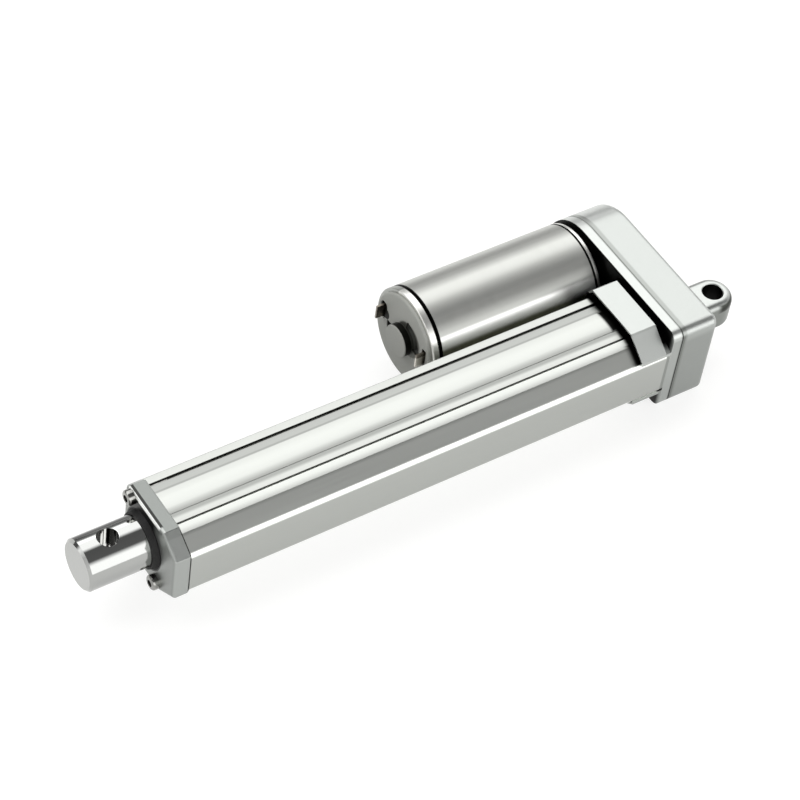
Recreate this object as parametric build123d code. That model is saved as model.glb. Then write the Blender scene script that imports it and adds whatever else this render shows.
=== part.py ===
from build123d import *
import os
from math import acos, cos, pi, radians, sin, tan

os.makedirs("parts", exist_ok=True)

# An electric linear actuator, in millimetres, with its rod fully in.
# The origin is the centre of the rear pivot hole, on the axis of the rod.
# +X is the way the rod comes out, +Z runs along the pivot holes, and the motor lies on the -Y side.

# Clearances that only help the modelling: cuts run past a face, and edges are picked by place
cut_margin = 1.0
pick_tolerance = 0.01

# Travel, pivots and rod
stroke = 150.0
pivot_hole_radius = 4.0
rod_radius = 10.0
rod_bore_radius = 7.5
rod_end_chamfer = 1.0
rod_pin_to_cap = 14.8
rod_pin_to_end = 11.6
rod_plug_length = 30.0

# Gear housing, two castings with a gasket between them
pivot_to_rear_face = 15.0
rear_cover_depth = 16.5
gasket_thickness = 0.5
flange_thickness = 4.1
housing_half_height = 20.0
housing_corner_radius = 3.7
housing_rim_radius = 2.6
housing_wall = 2.5
smallest_corner_radius = 0.5
lug_radius = 8.0
lug_half_height = 7.0
lug_rim_radius = 3.2
lug_mouth_chamfer = 0.4

# Sides of the body from the rod's axis: the open side, and the side towards the motor
near_side = 21.3
far_side = 14.9

# Hoods of the front housing that reach over the tube
hood_length = 13.4
hood_over_tube = 2.7
hood_near_flat = 11.8
hood_near_height = 11.3
hood_far_flat = 13.4
hood_side_step = 1.7
hood_far_height = 14.6
hood_wall = 1.6
hood_lip = 0.7
hood_lip_length = 1.4
hood_groove_width = 2.2
hood_groove_depth = 2.2
hood_root_length = 3.6
hood_foot_height = 9.9

# Outer tube, an extrusion
tube_bore_radius = 13.2
tube_top = 16.0
tube_bulge_half_width = 5.2
tube_bulge_edge = 15.5
tube_shoulder_inner = 15.3
tube_shoulder_outer = 14.7
tube_groove_place = 9.7
tube_groove_width = 0.8
tube_groove_floor = 13.7
tube_ridge_top = 15.1
tube_ridge_edge = 13.9
tube_ridge_edge_height = 14.3
tube_near_height = 9.6
tube_far_height = 12.9
tube_near_radius = 3.0
tube_far_radius = 1.0
tube_ridge_radius = 0.45
screw_port_height = 13.0
key_half_width = 2.5
channel_inner = 15.2
channel_wall = 2.0
channel_half_height = 7.0

# Front cap
cap_thickness = 6.1
cap_half_height = 16.3
cap_flat_half_width = 12.0
cap_near_height = 10.2
cap_far_height = 13.6
cap_far_margin = 0.4
cap_gasket_inset = 0.3
cap_rim_radius = 1.6
cap_bore_clearance = 0.8
wiper_radius = 11.8
wiper_depth = 3.2
wiper_lip = 2.2
wiper_lip_slope = 0.5
cap_screw_radius = 1.5
cap_screw_length = 14.0
screw_head_radius = 3.0
screw_head_height = 2.5
screw_socket_radius = 1.4
screw_socket_depth = 1.3
screw_crown_share = 0.4

# Drive nut, guide bush and lead screw
nut_rear_gap = 3.0
nut_guide_length = 16.0
nut_neck_length = 14.0
nut_front_gap = 8.4
guide_bush_length = 22.0
screw_radius = 5.0
screw_past_nut = 3.0
screw_end_chamfer = 1.0
running_clearance = 0.05
nut_pin_radius = 1.25
nut_pin_outer_gap = 0.4
nut_pin_inner_gap = 0.6
ear_clearance = 0.1
ear_tip_clearance = 0.3

# Ball bearing of the screw, 8 by 22 by 7 mm
bearing_bore_radius = 4.0
bearing_outer_radius = 11.0
bearing_width = 7.0
bearing_ring_wall = 1.9
ball_radius = 1.95
raceway_clearance = 0.07
ball_count = 7
bearing_lip_radius = 9.0
bearing_lip_thickness = 1.5
snap_ring_thickness = 0.9
snap_ring_depth = 0.6
snap_ring_width = 1.6
snap_ring_play = 0.1

# Gear train: pinion to idler, idler to screw gear
gear_module = 0.8
pinion_teeth = 12
idler_teeth = 37
idler_pinion_teeth = 14
screw_gear_teeth = 34
pressure_angle = radians(20.0)
addendum_factor = 0.8
dedendum_factor = 1.0
tooth_backlash = 0.12
flank_points = 5
rear_wall = 2.5
gear_side_gap = 1.8
idler_width = 4.6
screw_gear_width = 5.6
gear_plane_gap = 1.4
idler_pin_radius = 2.0
idler_pin_seat = 1.6
idler_pin_boss_radius = 4.0
gear_shaft_collar = 0.4
journal_end_gap = 0.5
journal_shoulder_gap = 0.6
journal_radius = 2.8
rear_bush_radius = 4.5
rear_bush_length = 8.0
retaining_ring_thickness = 0.7
retaining_ring_radius = 5.4
retaining_ring_depth = 0.4
key_width = 2.0
key_depth = 1.0
hub_radius = 5.8

# Motor
motor_stand_off = 1.9
motor_boss_inset = 3.6
motor_length = 77.0
motor_inset = 0.4
motor_groove_depth = 0.6
motor_groove_width = 0.6
motor_rim_width = 1.9
motor_end_rim_width = 3.0
sleeve_wall = 0.8
can_wall = 1.9
can_front_wall = 2.0
can_front_radius = 1.0
can_rear_radius = 0.6
end_cap_inset = 1.4
end_cap_height = 1.3
end_cap_edge_radius = 0.9
end_cap_spigot = 2.0
end_cap_boss_radius = 6.6
end_cap_boss_height = 3.2
vent_to_terminal = 1.7
vent_half_angle = 42.0
vent_angle = 40.0
vent_depth = 2.8
terminal_inset = 4.4
terminal_height = 2.8
terminal_width = 6.3
terminal_thickness = 0.8
terminal_reach = 3.4
terminal_slot_margin = 0.9
shaft_radius = 1.6
motor_bush_radius = 4.0
motor_bush_length = 4.0
magnet_thickness = 4.7
magnet_half_angle = 62.0
magnet_overhang = 4.0
air_gap = 0.4
coil_front_gap = 5.0
rotor_slots = 5
rotor_yoke = 3.6
slot_tip = 1.2
slot_half_angle = 25.0
slot_mouth = 1.6
slot_mouth_overlap = 0.2
end_turn_length = 5.0
commutator_radius = 4.5
commutator_length = 9.0
commutator_front_gap = 2.0
commutator_rear_gap = 1.4
brush_side = 4.0
brush_length = 5.0
brush_gap = 0.1
brush_box_wall = 0.8
brush_card_thickness = 1.6
brush_card_hole = 6.0
motor_screw_radius = 1.5
motor_screw_inset = 7.1
motor_screw_grip = 1.6
motor_screw_head_radius = 2.7
motor_screw_head_height = 1.8

# Housing screws
housing_screw_radius = 1.5
housing_screw_clearance = 0.2
housing_screw_boss_radius = 3.3
housing_screw_inset = 4.6
housing_far_screw_inset = 4.0
housing_screw_grip = 2.6
housing_screw_counterbore = 2.4
housing_far_screw_angle = 50.0

# Limit switches
board_thickness = 1.2
board_half_height = 6.6
board_end_gap = 1.5
switch_length = 7.6
switch_height = 2.4
switch_half_height = 3.0
lever_thickness = 1.1
lever_half_height = 1.6
lever_reach = 1.5
lever_gap = 0.3

# Sizes that follow others: the motor lines up with its housing, and the hoods clear the tube
motor_radius = housing_half_height - motor_inset
hood_half_height = tube_top + hood_over_tube
hood_far_side = far_side + hood_side_step

# Gear centres, from the teeth
idler_to_motor = gear_module * (pinion_teeth + idler_teeth) / 2
screw_to_idler = gear_module * (idler_pinion_teeth + screw_gear_teeth) / 2
motor_y = -(screw_to_idler + idler_to_motor)
idler_y = -screw_to_idler

# Stations along X, each from the one before
rear_face_x = pivot_to_rear_face
seam_x = rear_face_x + rear_cover_depth
flange_back_x = seam_x + gasket_thickness
flange_front_x = flange_back_x + flange_thickness
front_wall_x = flange_front_x - housing_wall
inner_rear_x = rear_face_x + rear_wall
bearing_start_x = front_wall_x + snap_ring_thickness
bearing_end_x = bearing_start_x + bearing_width
spigot_end_x = bearing_end_x + bearing_lip_thickness
nut_start_x = spigot_end_x + nut_rear_gap
rod_start_x = nut_start_x + nut_guide_length
bush_start_x = rod_start_x + stroke + nut_front_gap
tube_end_x = bush_start_x + guide_bush_length
cap_back_x = tube_end_x + gasket_thickness
cap_front_x = cap_back_x + cap_thickness
rod_pin_x = cap_front_x + rod_pin_to_cap
rod_end_x = rod_pin_x + rod_pin_to_end
rod_plug_x = rod_end_x - rod_plug_length
screw_end_x = rod_start_x + nut_neck_length + stroke + screw_past_nut
idler_start_x = inner_rear_x + gear_side_gap
idler_end_x = idler_start_x + idler_width
screw_gear_start_x = idler_end_x + gear_plane_gap
screw_gear_end_x = screw_gear_start_x + screw_gear_width
hood_end_x = flange_front_x + hood_length
motor_start_x = flange_front_x + motor_stand_off
motor_end_x = motor_start_x + motor_length
end_cap_face_x = motor_end_x + end_cap_height

# Inside of the motor, from its length and radius
spigot_start_x = motor_end_x - end_cap_spigot
brush_card_x = spigot_start_x - brush_card_thickness
commutator_end_x = brush_card_x - commutator_rear_gap
commutator_start_x = commutator_end_x - commutator_length
coil_end_x = commutator_start_x - commutator_front_gap
coil_start_x = motor_start_x + can_front_wall + coil_front_gap
rotor_start_x = coil_start_x + end_turn_length
rotor_end_x = coil_end_x - end_turn_length
can_inner_radius = motor_radius - can_wall
magnet_inner_radius = can_inner_radius - magnet_thickness
rotor_radius = magnet_inner_radius - air_gap
slot_outer_radius = rotor_radius - slot_tip
slot_inner_radius = shaft_radius + rotor_yoke
motor_screw_place = motor_radius - motor_screw_inset
end_cap_radius = motor_radius - end_cap_inset
terminal_y = end_cap_radius - terminal_inset
vent_outer_radius = terminal_y - terminal_thickness / 2 - terminal_slot_margin - vent_to_terminal


def cylinder_x(radius, start, end, y=0.0, z=0.0):
    turned = Pos(start, y, z) * Rot(0, 90, 0)
    return turned * Cylinder(radius, end - start, align=(Align.CENTER, Align.CENTER, Align.MIN))


def ring_x(outer, inner, start, end, y=0.0, z=0.0):
    return cylinder_x(outer, start, end, y, z) - cylinder_x(inner, start, end, y, z)


def prism_x(outline, start, end):
    return extrude(Plane.YZ.offset(start) * outline, amount=end - start)


def box_between(low, high):
    size = [b - a for a, b in zip(low, high)]
    middle = [(a + b) / 2 for a, b in zip(low, high)]
    return Pos(*middle) * Box(*size)


def polygon(points):
    return make_face(Polyline(*points, close=True))


# Outline that mirrors its upper points below the middle plane.
def mirrored_outline(upper):
    return polygon(upper + [(y, -z) for y, z in reversed(upper)])


def drawn_in(outline, inset):
    return offset(outline, amount=-inset, kind=Kind.INTERSECTION)


# Part of a ring about the origin, centred on the first axis of the sketch.
def ring_sector(inner, outer, half_angle):
    reach = 2 * outer
    side = reach * tan(radians(half_angle / 2))
    near = (reach * cos(radians(half_angle)), reach * sin(radians(half_angle)))
    wedge = polygon([(0, 0), (near[0], -near[1]), (reach, -side), (reach, side), near])
    return (Circle(outer) - Circle(inner)) & wedge


# Shape of both housing castings seen along the rod, drawn in by an inset.
def housing_outline(inset=0.0):
    near = near_side - inset
    half_height = housing_half_height - inset
    block = Pos((near + motor_y) / 2, 0) * Rectangle(near - motor_y, 2 * half_height)
    corners = [v for v in block.vertices() if v.X > 0]
    block = fillet(corners, max(housing_corner_radius - inset, smallest_corner_radius))
    return block + Pos(motor_y, 0) * Circle(half_height)


def hood_outline():
    return mirrored_outline([
        (near_side, hood_near_height),
        (hood_near_flat, hood_half_height),
        (-hood_far_flat, hood_half_height),
        (-hood_far_side, hood_far_height),
    ])


# Outside of the extrusion: a bulge, two shoulders, two grooved ridges and slanted faces, top and bottom.
def tube_outline():
    groove_in = tube_groove_place - tube_groove_width / 2
    groove_out = tube_groove_place + tube_groove_width / 2
    top = [
        (tube_bulge_half_width, tube_bulge_edge),
        (tube_bulge_half_width, tube_shoulder_inner),
        (groove_in, tube_shoulder_outer),
        (groove_in, tube_groove_floor),
        (groove_out, tube_groove_floor),
        (groove_out, tube_ridge_top),
        (tube_ridge_edge, tube_ridge_edge_height),
    ]
    near = top + [(near_side, tube_near_height)]
    far = [(-y, z) for y, z in top] + [(-far_side, tube_far_height)]
    crown_half = (tube_bulge_half_width, tube_bulge_edge)
    edges = []
    for side in (near, far):
        edges += Polyline(*side, *[(y, -z) for y, z in reversed(side)]).edges()
    for sign in (1, -1):
        ends = [(y, sign * crown_half[1]) for y in (-crown_half[0], crown_half[0])]
        edges += ThreePointArc(ends[0], (0, sign * tube_top), ends[1]).edges()
    face = make_face(edges)
    near_corners = [v for v in face.vertices() if v.X > near_side - pick_tolerance]
    face = fillet(near_corners, tube_near_radius)
    far_corners = [v for v in face.vertices() if v.X < pick_tolerance - far_side]
    face = fillet(far_corners, tube_far_radius)
    ridges = [v for v in face.vertices() if abs(abs(v.X) - tube_ridge_edge) < pick_tolerance]
    return fillet(ridges, tube_ridge_radius)


def gear_outline(teeth, turn):
    pitch = gear_module * teeth / 2
    base = pitch * cos(pressure_angle)
    outer = pitch + addendum_factor * gear_module
    root = pitch - dedendum_factor * gear_module
    start = max(base, root)
    half_tooth = pi / (2 * teeth) - tooth_backlash / (4 * pitch)
    pitch_involute = tan(pressure_angle) - pressure_angle
    flank = [(root, half_tooth + pitch_involute)]
    for step in range(flank_points):
        radius = start + (outer - start) * step / (flank_points - 1)
        roll = acos(min(base / radius, 1.0))
        flank.append((radius, half_tooth + pitch_involute - (tan(roll) - roll)))
    if root > base:
        flank = flank[1:]
    points = []
    for tooth in range(teeth):
        middle = turn + 2 * pi * tooth / teeth
        points += [(r * cos(middle - a), r * sin(middle - a)) for r, a in flank]
        points += [(r * cos(middle + a), r * sin(middle + a)) for r, a in reversed(flank)]
    return polygon(points)


# A gear on a line of centres along Y: a tooth faces +Y, or a gap faces -Y.
def gear_facing_plus(teeth):
    return gear_outline(teeth, 0.0)


def gear_facing_minus(teeth):
    return gear_outline(teeth, pi + pi / teeth)


# Places of the housing screws in Y and Z.
def housing_screw_places():
    near_y = near_side - housing_screw_inset
    near_z = housing_half_height - housing_screw_inset
    far = housing_half_height - housing_far_screw_inset
    far_y = motor_y - far * cos(radians(housing_far_screw_angle))
    far_z = far * sin(radians(housing_far_screw_angle))
    return [(near_y, near_z), (near_y, -near_z), (far_y, far_z), (far_y, -far_z)]


def pan_screw(radius, head_radius, head_height, head_x, length, y, z, direction):
    shank = sorted((head_x, head_x + direction * length))
    head = sorted((head_x, head_x - direction * head_height))
    socket_floor = head_x - direction * (head_height - screw_socket_depth)
    socket = sorted((head_x - direction * head_height, socket_floor))
    head_body = cylinder_x(head_radius, head[0], head[1], y, z)
    crown = head_body.faces().sort_by(Axis.X)[0 if direction > 0 else -1]
    head_body = fillet(crown.edges(), screw_crown_share * head_height)
    socket_body = cylinder_x(screw_socket_radius, socket[0], socket[1], y, z)
    return head_body + cylinder_x(radius, shank[0], shank[1], y, z) - socket_body


def make_gear_housing_rear():
    shell = prism_x(housing_outline(), rear_face_x, seam_x)
    shell = fillet(shell.faces().sort_by(Axis.X)[0].edges(), housing_rim_radius)
    shell -= prism_x(housing_outline(housing_wall), inner_rear_x, seam_x)
    lug = Cylinder(lug_radius, 2 * lug_half_height)
    lug += Pos(rear_face_x / 2, 0, 0) * Box(rear_face_x, 2 * lug_radius, 2 * lug_half_height)
    rims = lug.edges().filter_by(lambda e: abs(abs(e.center().Z) - lug_half_height) < pick_tolerance)
    rims = rims.filter_by(lambda e: e.center().X < rear_face_x - pick_tolerance)
    lug = fillet(rims, lug_rim_radius)
    body = shell + lug
    body -= Cylinder(pivot_hole_radius, 3 * lug_half_height)
    mouth = body.edges().filter_by(GeomType.CIRCLE)
    mouth = mouth.filter_by(lambda e: abs(e.radius - pivot_hole_radius) < pick_tolerance)
    body = chamfer(mouth, lug_mouth_chamfer)
    for y, z in housing_screw_places():
        boss = cylinder_x(housing_screw_boss_radius, inner_rear_x, seam_x, y, z)
        body += boss & prism_x(housing_outline(housing_wall / 2), inner_rear_x, seam_x)
        body -= cylinder_x(housing_screw_radius + housing_screw_clearance, rear_face_x, seam_x, y, z)
        head = cylinder_x(
            screw_head_radius + housing_screw_clearance,
            rear_face_x,
            rear_face_x + housing_screw_counterbore,
            y,
            z,
        )
        body -= head
    body += cylinder_x(idler_pin_boss_radius, inner_rear_x, idler_start_x - gear_shaft_collar, idler_y)
    body -= cylinder_x(idler_pin_radius, inner_rear_x - idler_pin_seat, idler_start_x, idler_y)
    body -= cylinder_x(rear_bush_radius, inner_rear_x - rear_bush_length, inner_rear_x)
    return body


# The groove behind a hood runs out along the slanted side, down to the hood's foot.
def groove_run_out(sign):
    corners = [
        (near_side, sign * hood_near_height),
        (hood_near_flat, sign * (hood_half_height - hood_groove_depth)),
        (near_side, sign * hood_foot_height),
    ]
    return prism_x(polygon(corners), flange_front_x, flange_front_x + hood_groove_width)


def hood_pair():
    groove_end = flange_front_x + hood_groove_width
    root_end = flange_front_x + hood_root_length
    lip_start = hood_end_x - hood_lip_length
    hood = prism_x(hood_outline(), groove_end, hood_end_x)
    hood += prism_x(drawn_in(hood_outline(), hood_groove_depth), flange_front_x, groove_end)
    hood += groove_run_out(1) + groove_run_out(-1)
    hood -= prism_x(drawn_in(hood_outline(), hood_wall), root_end, lip_start)
    hood -= prism_x(drawn_in(hood_outline(), hood_lip), lip_start, hood_end_x)
    side = 2 * near_side
    hood -= box_between((flange_front_x, -side, -hood_foot_height), (hood_end_x, side, hood_foot_height))
    return hood - prism_x(tube_outline(), flange_front_x, hood_end_x)


def make_gear_housing_front():
    body = prism_x(housing_outline(), flange_back_x, flange_front_x)
    body -= prism_x(housing_outline(housing_wall), flange_back_x, front_wall_x)
    body += cylinder_x(tube_bore_radius, front_wall_x, spigot_end_x)
    body += cylinder_x(motor_radius - motor_boss_inset, front_wall_x, motor_start_x, motor_y)
    body += hood_pair()
    for y, z in housing_screw_places():
        boss = cylinder_x(housing_screw_boss_radius, flange_back_x, front_wall_x, y, z)
        body += boss & prism_x(housing_outline(housing_wall / 2), flange_back_x, front_wall_x)
        body -= cylinder_x(housing_screw_radius, flange_back_x, flange_back_x + housing_screw_grip, y, z)
    body -= cylinder_x(bearing_outer_radius, front_wall_x, bearing_end_x)
    snap_ring_start = front_wall_x + snap_ring_play
    body -= cylinder_x(bearing_outer_radius + snap_ring_depth, snap_ring_start, bearing_start_x)
    body -= cylinder_x(bearing_lip_radius, bearing_end_x, spigot_end_x)
    body -= cylinder_x(motor_bush_radius, front_wall_x, motor_start_x, motor_y)
    body -= cylinder_x(idler_pin_radius, front_wall_x, front_wall_x + idler_pin_seat, idler_y)
    for z in (motor_screw_place, -motor_screw_place):
        hole = motor_screw_radius + housing_screw_clearance
        body -= cylinder_x(hole, front_wall_x, motor_start_x, motor_y, z)
    return body


def make_gear_housing_gasket():
    gasket = prism_x(housing_outline() - housing_outline(housing_wall), seam_x, flange_back_x)
    for y, z in housing_screw_places():
        pad = cylinder_x(housing_screw_boss_radius, seam_x, flange_back_x, y, z)
        gasket += pad & prism_x(housing_outline(housing_wall / 2), seam_x, flange_back_x)
        gasket -= cylinder_x(housing_screw_radius + housing_screw_clearance, seam_x, flange_back_x, y, z)
    return gasket


def make_gear_housing_screws():
    seat = rear_face_x + housing_screw_counterbore
    length = flange_back_x + housing_screw_grip - seat
    return [
        pan_screw(
            housing_screw_radius, screw_head_radius, housing_screw_counterbore, seat, length, y, z, 1
        )
        for y, z in housing_screw_places()
    ]


def make_outer_tube():
    tube = prism_x(tube_outline(), flange_front_x, tube_end_x)
    tube -= cylinder_x(tube_bore_radius, flange_front_x, tube_end_x)
    tube -= box_between((flange_front_x, 0, -key_half_width), (tube_end_x, channel_inner, key_half_width))
    for y in (tube_groove_place, -tube_groove_place):
        for z in (screw_port_height, -screw_port_height):
            tube -= cylinder_x(cap_screw_radius, flange_front_x, tube_end_x, y, z)
    low = (flange_front_x, channel_inner, -channel_half_height)
    high = (tube_end_x, near_side - channel_wall, channel_half_height)
    return tube - box_between(low, high)


# The two cap screws sit on one diagonal of the cap, in the tube's screw ports.
def cap_screw_places():
    return [(-tube_groove_place, screw_port_height), (tube_groove_place, -screw_port_height)]


def cap_outline():
    return mirrored_outline([
        (near_side, cap_near_height),
        (cap_flat_half_width, cap_half_height),
        (-cap_flat_half_width, cap_half_height),
        (cap_far_margin - far_side, cap_far_height),
    ])


def make_front_cap():
    body = prism_x(cap_outline(), cap_back_x, cap_front_x)
    body = fillet(body.faces().sort_by(Axis.X)[-1].edges(), cap_rim_radius)
    for y, z in cap_screw_places():
        body -= cylinder_x(cap_screw_radius + housing_screw_clearance, cap_back_x, cap_front_x, y, z)
    seal_start = cap_front_x - wiper_depth
    body -= cylinder_x(rod_radius + cap_bore_clearance, cap_back_x, seal_start)
    return body - cylinder_x(wiper_radius, seal_start, cap_front_x)


def make_front_cap_gasket():
    outline = drawn_in(cap_outline(), cap_gasket_inset)
    gasket = prism_x(outline - Circle(tube_bore_radius), tube_end_x, cap_back_x)
    for y, z in cap_screw_places():
        gasket -= cylinder_x(cap_screw_radius + housing_screw_clearance, tube_end_x, cap_back_x, y, z)
    return gasket


def make_front_cap_screws():
    return [
        pan_screw(
            cap_screw_radius, screw_head_radius, screw_head_height, cap_front_x, cap_screw_length, y, z, -1
        )
        for y, z in cap_screw_places()
    ]


def make_rod_wiper_seal():
    start = cap_front_x - wiper_depth
    inner = rod_radius + running_clearance
    seal = ring_x(wiper_radius, inner, start, cap_front_x)
    foot = wiper_radius - wiper_lip_slope
    lip = Cone(foot, foot - wiper_lip_slope, wiper_lip, align=(Align.CENTER, Align.CENTER, Align.MIN))
    lip = Pos(cap_front_x, 0, 0) * Rot(0, 90, 0) * lip
    return seal + (lip - cylinder_x(inner, cap_front_x, cap_front_x + wiper_lip))


def make_rod_guide_bush():
    return ring_x(tube_bore_radius, rod_radius + running_clearance, bush_start_x, tube_end_x)


def make_extension_rod():
    rod = cylinder_x(rod_radius, rod_start_x, rod_end_x)
    rod = chamfer(rod.faces().sort_by(Axis.X)[-1].edges(), rod_end_chamfer)
    rod -= cylinder_x(rod_bore_radius, rod_start_x, rod_plug_x)
    for side in (90, -90):
        rod -= nut_pin(side)
    return rod - Pos(rod_pin_x, 0, 0) * Cylinder(pivot_hole_radius, 3 * rod_radius)


# Short radial pin that locks the rod to the neck of the nut.
def nut_pin(angle):
    inner = screw_radius + nut_pin_inner_gap
    length = rod_radius - nut_pin_outer_gap - inner
    pin = Cylinder(nut_pin_radius, length, align=(Align.CENTER, Align.CENTER, Align.MIN))
    middle = rod_start_x + nut_neck_length / 2
    return Pos(middle, 0, 0) * Rot(angle, 0, 0) * Pos(0, 0, inner) * pin


def make_drive_nut():
    guide = cylinder_x(tube_bore_radius - 2 * running_clearance, nut_start_x, rod_start_x)
    ear_tip = channel_inner - ear_tip_clearance
    ear_half = key_half_width - ear_clearance
    guide += box_between((nut_start_x, 0, -ear_half), (rod_start_x, ear_tip, ear_half))
    nut = guide + cylinder_x(rod_bore_radius, rod_start_x, rod_start_x + nut_neck_length)
    for side in (90, -90):
        nut -= nut_pin(side)
    thread = cylinder_x(screw_radius + running_clearance, nut_start_x, rod_start_x + nut_neck_length)
    return nut - thread


def make_screw_gear_key():
    low = (screw_gear_start_x, -key_width / 2, bearing_bore_radius - key_depth)
    high = (screw_gear_end_x, key_width / 2, bearing_bore_radius + key_depth)
    return box_between(low, high)


def make_lead_screw():
    journal_start = inner_rear_x - rear_bush_length + journal_end_gap
    journal_end = screw_gear_start_x - retaining_ring_thickness - journal_shoulder_gap
    screw = cylinder_x(journal_radius, journal_start, journal_end)
    screw += cylinder_x(bearing_bore_radius, journal_end, bearing_end_x)
    thread = cylinder_x(screw_radius, bearing_end_x, screw_end_x)
    screw += chamfer(thread.faces().sort_by(Axis.X)[-1].edges(), screw_end_chamfer)
    screw -= ring_x(
        bearing_bore_radius + cut_margin,
        bearing_bore_radius - retaining_ring_depth,
        screw_gear_start_x - retaining_ring_thickness,
        screw_gear_start_x,
    )
    return screw - make_screw_gear_key()


def make_screw_retaining_ring():
    return ring_x(
        retaining_ring_radius,
        bearing_bore_radius - retaining_ring_depth,
        screw_gear_start_x - retaining_ring_thickness,
        screw_gear_start_x,
    )


def make_screw_gear():
    gear = prism_x(gear_facing_minus(screw_gear_teeth), screw_gear_start_x, screw_gear_end_x)
    gear += cylinder_x(hub_radius, screw_gear_end_x, bearing_start_x)
    gear -= cylinder_x(bearing_bore_radius, screw_gear_start_x, bearing_start_x)
    return gear - make_screw_gear_key()


def raceway():
    middle = (bearing_bore_radius + bearing_outer_radius) / 2
    groove = Torus(middle, ball_radius + raceway_clearance)
    return Pos((bearing_start_x + bearing_end_x) / 2, 0, 0) * Rot(0, 90, 0) * groove


def make_bearing_inner_ring():
    outer = bearing_bore_radius + bearing_ring_wall
    return ring_x(outer, bearing_bore_radius, bearing_start_x, bearing_end_x) - raceway()


def make_bearing_outer_ring():
    inner = bearing_outer_radius - bearing_ring_wall
    return ring_x(bearing_outer_radius, inner, bearing_start_x, bearing_end_x) - raceway()


def make_bearing_balls():
    middle = (bearing_bore_radius + bearing_outer_radius) / 2
    centre_x = (bearing_start_x + bearing_end_x) / 2
    balls = []
    for index in range(ball_count):
        angle = 2 * pi * index / ball_count
        balls.append(Pos(centre_x, middle * cos(angle), middle * sin(angle)) * Sphere(ball_radius))
    return balls


def make_bearing_snap_ring():
    outer = bearing_outer_radius + snap_ring_depth
    start = front_wall_x + snap_ring_play
    ring = ring_x(outer, bearing_outer_radius - snap_ring_width, start, bearing_start_x)
    low = (front_wall_x, -snap_ring_width, 0.0)
    high = (bearing_start_x, snap_ring_width, outer + cut_margin)
    return ring - box_between(low, high)


def make_screw_rear_bush():
    start = inner_rear_x - rear_bush_length
    return ring_x(rear_bush_radius, journal_radius + running_clearance, start, inner_rear_x)


def make_idler_pin():
    start = inner_rear_x - idler_pin_seat
    return cylinder_x(idler_pin_radius, start, front_wall_x + idler_pin_seat, idler_y)


def make_idler_gear():
    pinion_end = front_wall_x - gear_shaft_collar
    at_idler = Pos(idler_y, 0)
    gear = prism_x(at_idler * gear_facing_minus(idler_teeth), idler_start_x, idler_end_x)
    gear += prism_x(at_idler * gear_facing_plus(idler_pinion_teeth), idler_end_x, pinion_end)
    bore = idler_pin_radius + running_clearance
    return gear - cylinder_x(bore, idler_start_x, pinion_end, idler_y)


def make_motor_can():
    groove = motor_start_x + motor_rim_width
    sleeve_start = groove + motor_groove_width
    sleeve_end = motor_end_x - motor_end_rim_width - motor_groove_width
    can = cylinder_x(motor_radius, motor_start_x, motor_end_x, motor_y)
    can = fillet(can.faces().sort_by(Axis.X)[0].edges(), can_front_radius)
    can = fillet(can.faces().sort_by(Axis.X)[-1].edges(), can_rear_radius)
    groove_end = sleeve_end + motor_groove_width
    groove_radius = motor_radius - motor_groove_depth
    can -= ring_x(motor_radius + cut_margin, groove_radius, groove, groove_end, motor_y)
    can += cylinder_x(motor_radius - sleeve_wall, sleeve_start, sleeve_end, motor_y)
    can -= cylinder_x(can_inner_radius, motor_start_x + can_front_wall, motor_end_x, motor_y)
    can -= cylinder_x(motor_bush_radius, motor_start_x, motor_start_x + can_front_wall, motor_y)
    for z in (motor_screw_place, -motor_screw_place):
        hole_end = motor_start_x + motor_screw_grip
        can -= cylinder_x(motor_screw_radius, motor_start_x, hole_end, motor_y, z)
    return can - make_motor_sleeve()


def make_motor_sleeve():
    start = motor_start_x + motor_rim_width + motor_groove_width
    end = motor_end_x - motor_end_rim_width - motor_groove_width
    return ring_x(motor_radius, motor_radius - sleeve_wall, start, end, motor_y)


# Blades left and right of the end cap's centre, thin along Y.
def terminal_box(side, margin, start, end):
    place_y = motor_y + side * terminal_y
    reach_y = terminal_thickness / 2 + margin
    reach_z = terminal_width / 2 + margin
    low = (start, place_y - reach_y, terminal_height - reach_z)
    high = (end, place_y + reach_y, terminal_height + reach_z)
    return box_between(low, high)


def make_motor_end_cap():
    boss_end = end_cap_face_x + end_cap_boss_height
    disc = cylinder_x(end_cap_radius, motor_end_x, end_cap_face_x, motor_y)
    disc = fillet(disc.faces().sort_by(Axis.X)[-1].edges(), end_cap_edge_radius)
    cap = disc + cylinder_x(can_inner_radius, spigot_start_x, motor_end_x, motor_y)
    boss = cylinder_x(end_cap_boss_radius, end_cap_face_x, boss_end, motor_y)
    cap += fillet(boss.faces().sort_by(Axis.X)[-1].edges(), end_cap_edge_radius / 2)
    vent = ring_sector(end_cap_boss_radius, vent_outer_radius, vent_half_angle)
    for side in (0, 1):
        turned = Pos(motor_y, 0) * Rot(0, 0, vent_angle + 180 * side) * vent
        cap -= prism_x(turned, end_cap_face_x - vent_depth, end_cap_face_x)
    for side in (1, -1):
        cap -= terminal_box(side, terminal_slot_margin, motor_end_x, end_cap_face_x)
        cap -= terminal_box(side, 0.0, spigot_start_x, motor_end_x)
    bush_end = spigot_start_x + motor_bush_length
    return cap - cylinder_x(motor_bush_radius, spigot_start_x, bush_end, motor_y)


def make_motor_terminals():
    end = end_cap_face_x + terminal_reach
    return [terminal_box(side, 0.0, spigot_start_x, end) for side in (1, -1)]


def make_motor_front_bush():
    end = motor_start_x + can_front_wall
    start = end - motor_bush_length
    return ring_x(motor_bush_radius, shaft_radius + running_clearance, start, end, motor_y)


def make_motor_rear_bush():
    end = spigot_start_x + motor_bush_length
    bore = shaft_radius + running_clearance
    return ring_x(motor_bush_radius, bore, spigot_start_x, end, motor_y)


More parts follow.
